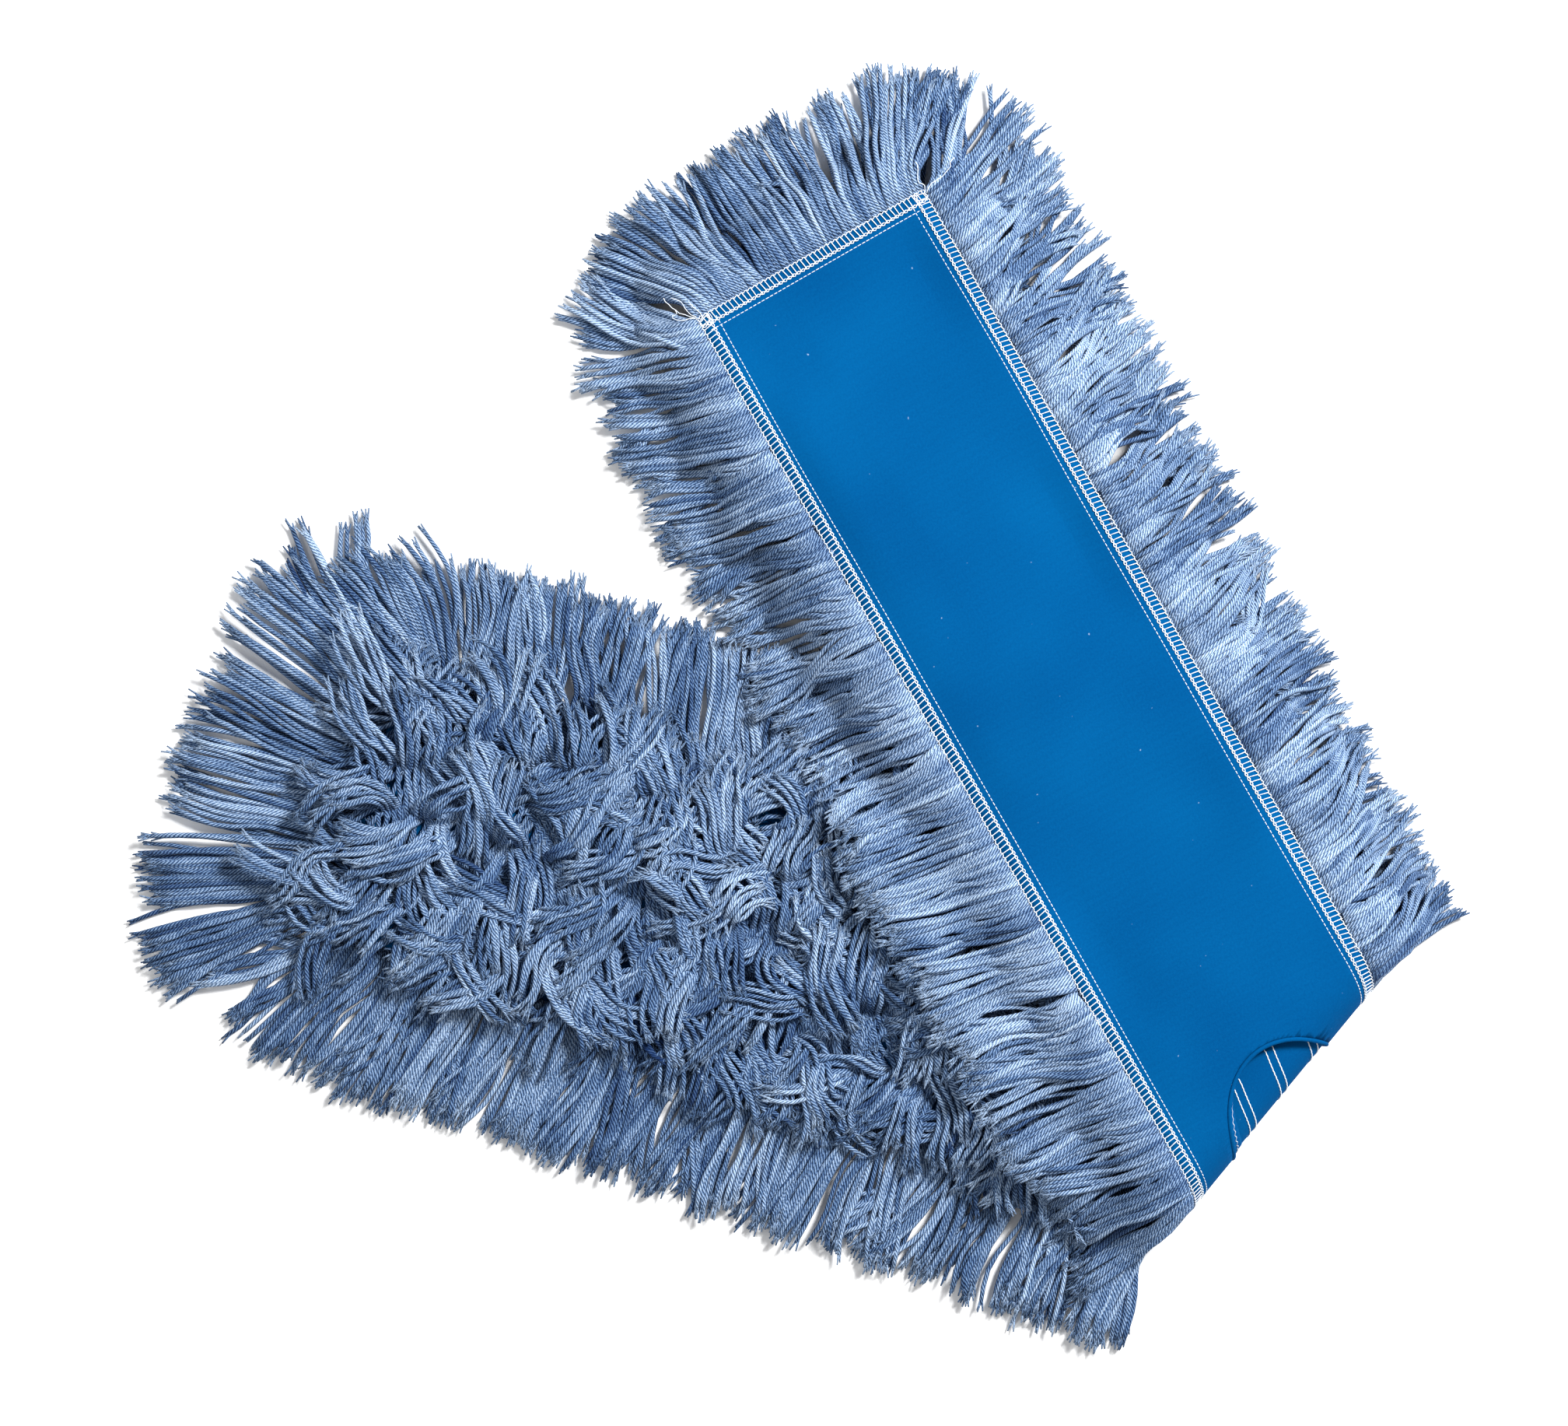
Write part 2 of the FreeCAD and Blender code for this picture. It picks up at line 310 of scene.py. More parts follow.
def yarn_finish():
    """Slate blue yarn: pale plies, grooves painted navy as shade, and a tint for each strand of uneven
    dye and painted shade.
    """
    yarn = Finish("blue_yarn", roughness=0.9)
    place = yarn.add("ShaderNodeUVMap", {"uv_map": "UVMap"})
    along = yarn.add("ShaderNodeSeparateXYZ", None, [place])
    around = yarn.add("ShaderNodeSeparateXYZ", None, [place], output=1)
    solid = yarn.add("ShaderNodeTexCoord", None, (), output=3)
    tint = yarn.add("ShaderNodeAttribute", {"attribute_name": "tint"}, (), output=2)
    turns = yarn.add("ShaderNodeAttribute", {"attribute_name": "turns"}, (), output=2)
    fibres = yarn.speckle(solid, 1500, 2)
    ridge = ((around + along * turns) * YARN_PLIES + fibres * 0.3).ridges()
    heather = yarn.speckle(solid, 520, 3)
    patch = yarn.speckle(solid, 60, 2)
    # light mixes painted shade (the twist's ridge and the shade held in each strand's tint) with the
    # yarn's own uneven dye (heather, patches and the tint's random spread)
    light = yarn.ramp(ridge * 0.6 + heather * 0.45 + tint * 0.52 + patch * 0.4, 0.68, 1.46)
    # paler on the plies' crowns and dark navy in the grooves and between strands: painted shade
    pale = yarn.blend(yarn.ramp(light, 0.5, 1.0), (0.12, 0.215, 0.385, 1), (0.45, 0.58, 0.77, 1))
    whole = yarn.blend(yarn.ramp(light, 0.0, 0.55), (0.004, 0.024, 0.095, 1), pale)
    yarn.colour(whole)
    yarn.relief(ridge + fibres * 0.5, 0.4 * MM)
    return yarn.material


def thread_finish():
    """White spun thread, a little uneven."""
    thread = Finish("white_thread", roughness=0.7, sheen=0.1)
    solid = thread.add("ShaderNodeTexCoord", None, (), output=3)
    shade = thread.ramp(thread.speckle(solid, 900, 1), 0.3, 0.7)
    thread.colour(thread.blend(shade, (0.62, 0.70, 0.80, 1), (0.88, 0.91, 0.94, 1)))
    return thread.material


def floor_finish():
    """Plain pale floor."""
    plain = Finish("pale_floor", roughness=0.9)
    plain.surface.inputs["Base Color"].default_value = (0.95, 0.95, 0.95, 1)
    return plain.material


TWILL, YARN, THREAD = twill_finish(), yarn_finish(), thread_finish()
floor.data.materials.append(floor_finish())
print("finishes:", TWILL.name, YARN.name, THREAD.name)


# %% [markdown]
# ## Cutting the cloths
# Each cloth is made flat, with across as X and along as Y. The pocket cloth starts as
# the ring of its slot: the ring is extruded out to a square, and the square's ends are
# extruded to the ends of the strip, so the slot keeps an exact oval edge. Straight cuts
# then give it enough faces to bend, most of them along the fold. Solidify gives it its
# thickness while it is flat, and the folding formula does the rest.

# %% Cloth helpers
FACE = 0.5 * MM                            # room for the thread outside the cloth
POCKET_CLOTH = 0.8 * MM
BASE_CLOTH = 1.0 * MM
SLOT_ACROSS = 34 * MM                      # half the slot's width
SLOT_ALONG = 41 * MM                       # half its length, measured on the flat cloth
CREASE = 1.7 * MM                          # the cloth begins here, beyond the slot's rim
pieces = {}


def cut(bm, first, last, pitch, direction):
    """Cuts all the faces by upright planes, a pitch apart, that face one direction."""
    for apart in np.arange(first, last, pitch):
        everything = bm.verts[:] + bm.edges[:] + bm.faces[:]
        bmesh.ops.bisect_plane(bm, geom=everything, dist=1e-7, plane_co=direction * apart,
                               plane_no=direction)


def cut_for_bending(bm):
    """Cuts across and along the strip, and fine cuts parallel to the fold."""
    cut(bm, -HALF_WIDTH + 5 * MM, HALF_WIDTH - 4 * MM, 9 * MM, Vector((1, 0, 0)))
    cut(bm, -HALF_LENGTH + 6 * MM, HALF_LENGTH - 5 * MM, 11 * MM, Vector((0, 1, 0)))
    square_on = Vector((-math.sin(SKEW), math.cos(SKEW), 0))
    cut(bm, -50 * MM, 52 * MM, 1.5 * MM, square_on)
    cut(bm, -3 * MM, 3.1 * MM, 0.75 * MM, square_on)


def fold_up(bm, name, depths):
    """Keeps the flat place as the UV, folds the cloth up and makes its object."""
    uv = bm.loops.layers.uv.new("UVMap")
    for face in bm.faces:
        face.smooth = True
        for loop in face.loops:
            loop[uv].uv = loop.vert.co.xy
    flat = [(vert.co.y, vert.co.x, deep) for vert, deep in zip(bm.verts, depths)]
    for vert, place in zip(bm.verts, folded(flat)):
        vert.co = place
    bmesh.ops.recalc_face_normals(bm, faces=bm.faces[:])
    return new_object(bm, name, TWILL)


def thicken_and_fold(bm, name, thickness, depth_at):
    """Gives a flat cloth its thickness, then folds it at the depth that it lies at."""
    bm.normal_update()
    bmesh.ops.reverse_faces(bm, faces=[face for face in bm.faces if face.normal.z < 0])
    bmesh.ops.solidify(bm, geom=bm.faces[:], thickness=thickness)
    return fold_up(bm, name, [abs(v.co.z) + depth_at(v.co.y, v.co.x) for v in bm.verts])


def new_object(bm, name, material):
    """Turns a finished mesh into a piece."""
    mesh = bpy.data.meshes.new(name)
    bm.to_mesh(mesh)
    bm.free()
    mesh.materials.append(material)
    piece = bpy.data.objects.new(name, mesh)
    bpy.context.scene.collection.objects.link(piece)
    pieces[name] = piece
    return piece


# %% How deep each cloth lies
BETWEEN_CLOTHS = 0.8 * MM                  # where they are sewn together
POCKET_SLACK = 4.6 * MM                    # how much farther apart they lie in between


def inside(along, across):
    """How far a flat place is from the nearest edge of the strip."""
    return min(HALF_WIDTH - abs(across), HALF_LENGTH - abs(along))


def pocket_depth(along, across):
    """The pocket cloth is smooth, with soft waves that die out at its seams and its fold."""
    from_seams = smooth(inside(along, across) / (22 * MM))
    away = smooth((from_fold(along, across) - 25 * MM) / (45 * MM))
    wave = noise.noise(Vector((along * 10, across * 9, 4.2))) * 6.0 * MM
    wave += noise.noise(Vector((along * 40, across * 30, 1.7))) * 0.6 * MM
    return FACE + float(from_seams * away) * wave


def base_depth(along, across):
    """The base cloth meets the pocket cloth at the edge and the fold, and is slack between."""
    from_seams = smooth(inside(along, across) / (24 * MM))
    away = smooth((abs(from_fold(along, across)) - 5 * MM) / (28 * MM))
    return FACE + POCKET_CLOTH + BETWEEN_CLOTHS + float(from_seams * away) * POCKET_SLACK


# %% Pocket cloth
def pocket_cloth():
    """The blue cloth with the slot, from the slot's edge outwards."""
    bm = bmesh.new()
    rim_across, rim_along = SLOT_ACROSS + CREASE, SLOT_ALONG + CREASE
    bmesh.ops.create_circle(bm, cap_ends=False, segments=96, radius=1)
    ring = bmesh.ops.extrude_edge_only(bm, edges=bm.edges[:])["geom"]
    outer = {item for item in ring if isinstance(item, bmesh.types.BMVert)}
    for vert in bm.verts:
        if vert in outer:
            vert.co *= HALF_WIDTH / max(abs(vert.co.x), abs(vert.co.y))
        else:
            vert.co = (vert.co.x * rim_across, vert.co.y * rim_along, 0)
    for side in (-1, 1):
        ends = [edge for edge in bm.edges
                if all(abs(v.co.y - side * HALF_WIDTH) < 1e-6 for v in edge.verts)]
        strip = bmesh.ops.extrude_edge_only(bm, edges=ends)["geom"]
        for vert in [item for item in strip if isinstance(item, bmesh.types.BMVert)]:
            vert.co.y = side * HALF_LENGTH
    cut_for_bending(bm)
    return thicken_and_fold(bm, "pocket_cloth", POCKET_CLOTH, pocket_depth)


def base_cloth():
    """The plain cloth that carries the yarn."""
    bm = bmesh.new()
    bmesh.ops.create_grid(bm, x_segments=1, y_segments=1, size=1)
    bmesh.ops.scale(bm, verts=bm.verts, vec=(HALF_WIDTH, HALF_LENGTH, 1))
    cut_for_bending(bm)
    return thicken_and_fold(bm, "base_cloth", BASE_CLOTH, base_depth)


pocket_cloth()
base_cloth()
print("cloth faces:", {name: len(piece.data.polygons) for name, piece in pieces.items()})

# %% [markdown]
# ## The slot's rolled edge
# The slot's edge is turned over and faced with a narrow strip. On one side the strip
# has rolled out into the slot and shows its zigzag stitching. A profile swept round an
# oval makes such an edge: a grid is laid round the slot, one side of the grid following
# the oval and the other following the profile.

# %% Slot hem
HEM_ROLL = [(1.15, 1.0), (1.25, 0.3), (1.05, -0.1), (0.6, -0.3), (0.1, -0.2), (-0.15, 0.2),
            (-0.1, 0.8)]                   # out from the slot's edge and deep, in mm
FACING_DEEP = 1.1
FACING = [(out, FACING_DEEP) for out in (1.4, 3.2, 5.0, 6.6)]
HEM_CLOTH = 0.35 * MM
FACING_TURN = math.radians(167)            # how far the facing turns over where it's open
FACING_SAG = 0.35                          # and how much of its width sinks on the way
OPEN_SIDE = math.radians(198)              # where round the oval the facing has rolled out
OPEN_SPREAD = math.radians(130)            # it is hidden again this far to each side
OPEN_LEVEL = 1.12                          # over 1, so a stretch of it is fully out


def rolled_out(angle):
    """1 where the facing stands out into the slot, 0 where it lies hidden."""
    apart = abs((angle - OPEN_SIDE + math.pi) % (2 * math.pi) - math.pi)
    return min(max(OPEN_LEVEL - OPEN_LEVEL * apart / OPEN_SPREAD, 0), 1)


def beside_slot(angle, offset):
    """A flat place (across, along) beside the slot's edge, outwards from it."""
    across, along = math.cos(angle), math.sin(angle)
    normal = Vector((across / SLOT_ACROSS, along / SLOT_ALONG)).normalized()
    return Vector((across * SLOT_ACROSS, along * SLOT_ALONG)) + normal * offset


def facing_place(angle, offset, deep):
    """The facing swings about the slot's edge, out of the pocket, where it has rolled out."""
    turn = FACING_TURN * rolled_out(angle)
    return offset * math.cos(turn), deep + FACING_SAG * offset * math.sin(turn)


def slot_hem():
    """The rolled edge and its facing, swept round the slot."""
    profile = HEM_ROLL + FACING
    last = len(profile) - 1
    bm = bmesh.new()
    bmesh.ops.create_grid(bm, x_segments=144, y_segments=last, size=1)
    for vert in bm.verts:
        angle = (vert.co.x + 1) * math.pi
        index = round((vert.co.y + 1) / 2 * last)
        offset, deep = (value * MM for value in profile[index])
        if index >= len(HEM_ROLL):
            offset, deep = facing_place(angle, offset, deep)
        place = beside_slot(angle, offset)
        vert.co = (place.x, place.y, deep)
    bmesh.ops.remove_doubles(bm, verts=bm.verts, dist=0.01 * MM)
    bm.normal_update()
    bmesh.ops.solidify(bm, geom=bm.faces[:], thickness=HEM_CLOTH)
    return fold_up(bm, "slot_hem", [FACE + vert.co.z for vert in bm.verts])


slot_hem()
print("hem faces:", len(pieces["slot_hem"].data.polygons))


# %% [markdown]
# ## Thread and yarn as tubes
# A thread is a curve with a round bevel. Hundreds of short curves can share one curve
# object, which becomes one mesh. Blender gives such a mesh its own coordinates, along
# and around each tube, and the yarn's twist is drawn in those.

# %% Tubes along lines
def tubes(name, lines, radius, material, resolution=0, swells=None, marks=None):
    """One piece from many lines of points; swells are each line's own thickness along it,
    and marks are numbers that each line carries into its material."""
    curve = bpy.data.curves.new(name, "CURVE")
    curve.dimensions = "3D"
    curve.bevel_depth = radius
    curve.bevel_resolution = resolution
    for number, line in enumerate(lines):
        spline = curve.splines.new("POLY")
        spline.points.add(len(line) - 1)
        places = np.ones((len(line), 4))
        places[:, :3] = line
        spline.points.foreach_set("co", places.ravel())
        if swells is not None:
            spline.points.foreach_set("radius", swells[number])
    holder = bpy.data.objects.new(name + "_line", curve)
    bpy.context.scene.collection.objects.link(holder)
    mesh = bpy.data.meshes.new_from_object(holder)
    bpy.data.objects.remove(holder)
    counts = [len(line) * (4 + 2 * resolution) for line in lines]
    for mark, values in (marks or {}).items():
        attribute = mesh.attributes.new(mark, "FLOAT", "POINT")
        attribute.data.foreach_set("value", np.repeat(values, counts))
    bm = bmesh.new()
    bm.from_mesh(mesh)
    bmesh.ops.holes_fill(bm, edges=[edge for edge in bm.edges if edge.is_boundary], sides=0)
    for face in bm.faces:
        face.smooth = True
    bpy.data.meshes.remove(mesh)
    return new_object(bm, name, material)


# %% [markdown]
# ## Sewing
# An overlocked edge is a ladder of thread: slanted rungs that wrap over the cut edge,
# held between a looped rail on the cloth and a thicker one on the rim. The lockstitch
# inside it is a row of short dashes, each one dipping into the cloth at its ends.

# %% Overlock
OVERLOCK_WIDTH = 5.4 * MM
OVERLOCK_PITCH = 2.45 * MM
THREAD_RADIUS = 0.24 * MM
chance = random.Random(11)


def edge_place(edge, along_edge, inset, deep):
    """A flat place (along, across, depth) near one edge of the strip."""
    places = {"left": (along_edge, inset - HALF_WIDTH),
              "right": (along_edge, HALF_WIDTH - inset),
              "end_upper": (HALF_LENGTH - inset, along_edge),
              "end_lower": (inset - HALF_LENGTH, along_edge)}
    along, across = places[edge]
    return along, across, pocket_depth(along, across) + deep


def overlock(edge, half_run):
    """Rungs and rails along one edge, from one corner to the other."""
    lines = []
    for start in np.arange(-half_run, half_run, OVERLOCK_PITCH):
        lean = chance.uniform(0.5, 1.3) * MM
        rung = [(start + lean, OVERLOCK_WIDTH, -0.1 * MM),
                (start + lean * 0.5, OVERLOCK_WIDTH / 2, -0.24 * MM),
                (start, 0.3 * MM, -0.15 * MM),
                (start - 0.2 * MM, -0.7 * MM, 0.8 * MM),
                (start - 0.2 * MM, -0.3 * MM, 2.1 * MM)]
        lines.append(folded([edge_place(edge, *point) for point in rung]))
    rails = [(OVERLOCK_WIDTH, 0.42, 0.0), (OVERLOCK_WIDTH - 0.7 * MM, 0.3, math.pi),
             (0.1 * MM, 0.4, 1.6)]
    for inset, swing, phase in rails:
        rail = []
        for along_edge in np.arange(-half_run, half_run, OVERLOCK_PITCH / 3):
            turn = 2 * math.pi * along_edge / OVERLOCK_PITCH + phase
            rail.append(edge_place(edge, along_edge, inset + swing * MM * math.sin(turn), -0.25 * MM))
        lines.append(folded(rail))
    return tubes("overlock_%s_thread" % edge, lines, THREAD_RADIUS, THREAD)


for edge, half_run in (("left", HALF_LENGTH), ("right", HALF_LENGTH), ("end_upper", HALF_WIDTH),
                       ("end_lower", HALF_WIDTH)):
    overlock(edge, half_run)
print("overlock faces:", len(pieces["overlock_left_thread"].data.polygons))

# %% Lockstitch
STITCH = 2.3 * MM
TOPSTITCH_INSET = 8.2 * MM


def lockstitch(edge, half_run):
    """Dashes of thread that dip into the cloth between stitches."""
    lines = []
    for start in np.arange(-half_run, half_run - STITCH, STITCH):
        wander = noise.noise(Vector((start * 9, TOPSTITCH_INSET * 100, 2.0))) * 0.9 * MM
        inset = TOPSTITCH_INSET + wander
        dash = [edge_place(edge, start + share * STITCH, inset, deep * MM)
                for share, deep in ((0.0, 0.25), (0.18, -0.1), (0.62, -0.1), (0.8, 0.25))]
        lines.append(folded(dash))
    return tubes("topstitch_%s_thread" % edge, lines, THREAD_RADIUS * 0.85, THREAD)


for edge, half_run in (("left", HALF_LENGTH - 2 * MM), ("right", HALF_LENGTH - 2 * MM),
                       ("end_upper", HALF_WIDTH - 3 * MM), ("end_lower", HALF_WIDTH - 3 * MM)):
    lockstitch(edge, half_run)
print("topstitch faces:", len(pieces["topstitch_left_thread"].data.polygons))

# %% Seams of the tuft rows, and the zigzag on the hem
TUFT_ROWS = sum(node.startswith("tuft_row_") and node.endswith("upper") for node in frame["nodes"])
ROW_PITCH = 21.6 * MM
ROWS_OFF_CENTRE = 2.2 * MM
SEAM_SPREAD = 4.2 * MM                     # between the two seams of one row
ZIGZAG_POINTS = 132


def row_middle(row):
    """Where a row of tufts is sewn, a little off centre; rows count from 1."""
    return (row - (TUFT_ROWS + 1) / 2) * ROW_PITCH + ROWS_OFF_CENTRE


def row_seams():
    """Pairs of seams on the pocket side of the base cloth, seen through the slot."""
    lines = []
    fine = np.arange(-70 * MM, 70 * MM, 0.9 * MM)
    far = np.arange(80 * MM, HALF_LENGTH, 12 * MM)
    for row in range(1, TUFT_ROWS + 1):
        for side in (-1, 1):
            across = row_middle(row) + side * SEAM_SPREAD / 2
            seam = []
            for along in np.concatenate([-far[::-1], fine, far]):
                ripple = 0.12 * MM * math.sin(2 * math.pi * along / (2.7 * MM))
                seam.append((along, across + ripple, base_depth(along, across) - 0.15 * MM))
            lines.append(folded(seam))
    return tubes("row_stitches", lines, 0.3 * MM, THREAD)


def slot_zigzag():
    """Zigzag thread on the facing of the slot."""
    line = []
    for number in range(ZIGZAG_POINTS):
        angle = 2 * math.pi * number / ZIGZAG_POINTS
        offset, deep = facing_place(angle, (2.4 if number % 2 else 3.6) * MM, FACING_DEEP * MM)
        place = beside_slot(angle, offset)
        line.append((place.y, place.x, FACE + deep - 0.45 * MM * rolled_out(angle)))
    return tubes("slot_zigzag", [folded(line + line[:1])], 0.2 * MM, THREAD)


row_seams()
slot_zigzag()
print("rows:", TUFT_ROWS, "seam faces:", len(pieces["row_stitches"].data.polygons))

# %% [markdown]
# ## What the yarn lies on
# Cut yarn is limp. It leaves its seam, droops, and then lies on whatever is below it:
# the floor, or the other half of the head. Each strand is walked forward in short
# steps that turn a little and sink until something holds them up, so these heights
# come first. A hair system could scatter strands, but it would not let them rest.

# %% Heights under the yarn
YARN_RADIUS = 1.2 * MM
PILE_TOP = 27 * MM
LOWEST_TOP = 3 * MM                        # the pile is never pressed thinner than this
CLOTH_STACK = 7.5 * MM                     # both cloths where they lie on the floor
TAN_SLOPE = math.tan(SLOPE)
TAN_SPLIT = math.tan(SLOPE / 2)


def fold_place(x, y):
    """A place on the floor as its distance out through the fold and beside it."""
    across = Vector((x - ORIGIN.x, y - ORIGIN.y, 0))
    return across.dot(OUTWARD), across.dot(FOLD_LINE)


def flat_place(away, beside):
    """The flat place (along, across) at a distance from the fold and beside it."""
    return (away * math.cos(SKEW) + beside * math.sin(SKEW),
            beside * math.cos(SKEW) - away * math.sin(SKEW))


def on_lower(x, y):
    """The flat place (along, across) of the lower half that is at x, y."""
    out, beside = fold_place(x, y)
    return flat_place(out - (math.pi / 2 - 1) * ROLL, beside)


def on_upper(x, y):
    """The flat place (along, across) of the upper half that is over x, y."""
    out, beside = fold_place(x, y)
    return flat_place(ROLL * (math.pi / 2 - 1) - out, beside)


def split_height(x, y):
    """Height of the sloping plane between the two halves."""
    return hinge.z + fold_place(x, y)[0] * TAN_SPLIT


def outside(along, across):
    """How far a flat place is outside the backing cloth."""
    return math.hypot(max(abs(across) - HALF_WIDTH, 0), max(abs(along) - HALF_LENGTH, 0))


def pile_top(x, y):
    """Highest that the lower half's yarn may stand: it is pressed down under the upper half."""
    pressed = 1 - float(smooth(outside(*on_upper(x, y)) / FRINGE))
    low = min(PILE_TOP, split_height(x, y) - 1.5 * MM)
    return max(PILE_TOP + (low - PILE_TOP) * pressed, LOWEST_TOP)


def lower_top(x, y):
    """Top of the lower half where it lies, 0 beside it."""
    along, across = on_lower(x, y)
    if along > 0:
        return 0.0
    apart = outside(along, across)
    if apart > FRINGE:
        return 0.0
    slide = float(smooth(apart / (30 * MM)))
    edge = 8 * MM - 5 * MM * apart / FRINGE
    return pile_top(x, y) * (1 - slide) + min(edge, pile_top(x, y)) * slide


# %% [markdown]
# ## Locks of yarn
# Yarn hangs in locks: neighbours leave the seam side by side, lean the same way, draw
# together and part from the next lock. So the middle of a lock is walked first, and its
# strands are laid beside and on top of it, each with its own drift, so that they cross
# a little. A cut end opens into its plies.

# %% The middle line of a lock
STEPS = 9
STEEPEST = 0.85                            # rise or fall of one step, over its length
shares = np.linspace(0, 1, STEPS + 1)


def middle_line(root, heading, bend, length, level):
    """Points along a lock's middle and its heading at each; bend(share) adds to the heading."""
    x, y, z = root
    step = length / STEPS
    line, headings = [(x, y, z)], [heading + bend(0)]
    for share in shares[1:]:
        angle = heading + bend(share)
        climb = level(x + math.cos(angle) * step, y + math.sin(angle) * step, share) - z
        climb = max(-STEEPEST * step, min(STEEPEST * step, climb))
        reach = math.sqrt(step * step - climb * climb)
        x += math.cos(angle) * reach
        y += math.sin(angle) * reach
        z = max(z + climb, YARN_RADIUS)
        line.append((x, y, z))
        headings.append(angle)
    return np.array(line), np.array(headings)


def swaying(dice, lean, curl, sway=0.14):
    """How a lock's heading changes along it: a lean, a curl that grows, and a slow wave."""
    phase = dice.uniform(0, 6.3)
    cycles = dice.uniform(0.6, 1.3)
    amount = abs(dice.gauss(0, sway))

    def bend(share):
        return lean * min(1, share * 3) + curl * share + amount * math.sin(6.3 * cycles * share + phase)

    return bend


# %% The strands of a lock
class Strands:
    """The strands of one piece, gathered lock by lock."""

    def __init__(self, seed):
        self.dice = random.Random(seed)
        self.lines, self.swells, self.tints, self.turns = [], [], [], []

    def add(self, line, swell, tint):
        """One tube. Its twist has as many turns as its length needs."""
        self.lines.append(line)
        self.swells.append(swell)
        self.tints.append(tint)
        self.turns.append(float(np.linalg.norm(np.diff(line, axis=0), axis=1).sum()) / YARN_TWIST)

    def lay(self, middle, headings, beside, lift, cut, pinch, drift, tint, ahead=0.0, below=0.0):
        """One strand beside and above the middle line: pinched halfway, drifting to its end."""
        dice = self.dice
        at = shares * cut
        x, y, z = (np.interp(at, shares, middle[:, axis]) for axis in range(3))
        angle = np.interp(at, shares, headings)
        swing = dice.uniform(0.3, 1.2) * MM
        wobble = swing * np.sin(6.3 * (dice.uniform(0.8, 2.0) * shares + dice.random()))
        side = beside * (1 - pinch * np.sin(math.pi * shares ** 1.2)) + drift * smooth(shares * 1.15)
        side += wobble * smooth(shares * 4)
        start = ahead * (1 - shares)
        x = x - np.sin(angle) * side + np.cos(angle) * start
        y = y + np.cos(angle) * side + np.sin(angle) * start
        z = z + lift * smooth(shares * 5) + below * (1 - smooth(shares * 2))
        line = np.column_stack([x, y, np.maximum(z, YARN_RADIUS)])
        size = dice.uniform(0.88, 1.08)
        swell = [size * dice.uniform(0.94, 1.06) for _ in range(len(line))]
        swell[-1] = 0.85 * size
        self.add(line, swell, tint)
        self.open_plies(line, tint)

    def open_plies(self, line, tint):
        """Three of the plies spread out of a strand's cut end."""
        dice = self.dice
        tip = line[-1]
        way = (line[-1] - line[-2]) / (np.linalg.norm(line[-1] - line[-2]) + 1e-9)
        side = np.array([-way[1], way[0], 0.0])
        for spread in (-0.35, 0, 0.35):
            out = way + side * (spread + dice.gauss(0, 0.15))
            out = out + np.array([0, 0, dice.uniform(-0.2, 0.3)])
            inner = tip - way * 2.2 * MM + side * spread * MM
            ply = np.array([inner, tip + out * dice.uniform(1.5, 5) * MM])
            ply[:, 2] = np.maximum(ply[:, 2], 0.5 * MM)
            self.add(ply, [0.55, 0.3], tint + 0.12)

    def piece(self, name):
        """Makes one piece of all the strands."""
        marks = {"tint": self.tints, "turns": self.turns}
        made = tubes(name, self.lines, YARN_RADIUS, YARN, 1, self.swells, marks)
        print(name, len(self.lines), "tubes,", len(made.data.polygons), "faces")
        return made


# %% [markdown]
# ## Fringe
# The fringe is sewn into the edge in two layers, each with its own locks, so the gaps
# of one layer rarely lie over the gaps of the other. White floor shows through where
# they do. At the corners, where the locks fan out, a third layer closes the wedges.

# %% The edge that the fringe hangs from
STRAND_PITCH = 1.9 * MM
LOCK = 13 * MM                             # usual width of a lock at the root
CORNER = 17 * MM                           # how far from a corner the third layer reaches
COMBED = (0.1, 0.04, 0.06, 0.3)            # how far end locks curl, stray, sway and spread
LOOSE = (0.22, 0.09, 0.14, 0)              # and those of the long sides


def edge_root(side, sign, place, deep):
    """Where a fringe strand leaves the edge, and its heading on the floor."""
    if side == "end":
        flat = (sign * HALF_LENGTH, place - HALF_WIDTH, deep)
        out = (sign * (HALF_LENGTH + 10 * MM), flat[1], deep)
    else:
        edge = HALF_WIDTH if side == "right" else -HALF_WIDTH
        flat = (sign * place, edge, deep)
        out = (flat[0], edge + math.copysign(10 * MM, edge), deep)
    root, ahead = folded([flat, out])
    return root, math.atan2(ahead[1] - root[1], ahead[0] - root[0])


def at_corner(side, place):
    """Near the corners of the strip more yarn is needed, as it fans out."""
    if side == "end":
        return abs(place - HALF_WIDTH) > HALF_WIDTH - CORNER
    return place > HALF_LENGTH - CORNER


def edge_lean(side, place):
    """Strands lean a little towards the far end, and fan round the corners."""
    if side == "end":
        share = place / HALF_WIDTH - 1
        return -share * abs(share) * 0.8
    fan = 0.16 + 0.75 * math.exp(-(HALF_LENGTH - place) / (24 * MM))
    return fan if side == "right" else -fan


# %% One lock of the fringe
def fringe_level(root, length, lift, droop, upper):
    """A fringe lock droops from its root onto the floor or onto the other half."""

    def level(x, y, share):
        rest = YARN_RADIUS + lift + (lower_top(x, y) if upper else 0)
        return max(rest, root[2] - droop * (share * length) ** 2)

    return level


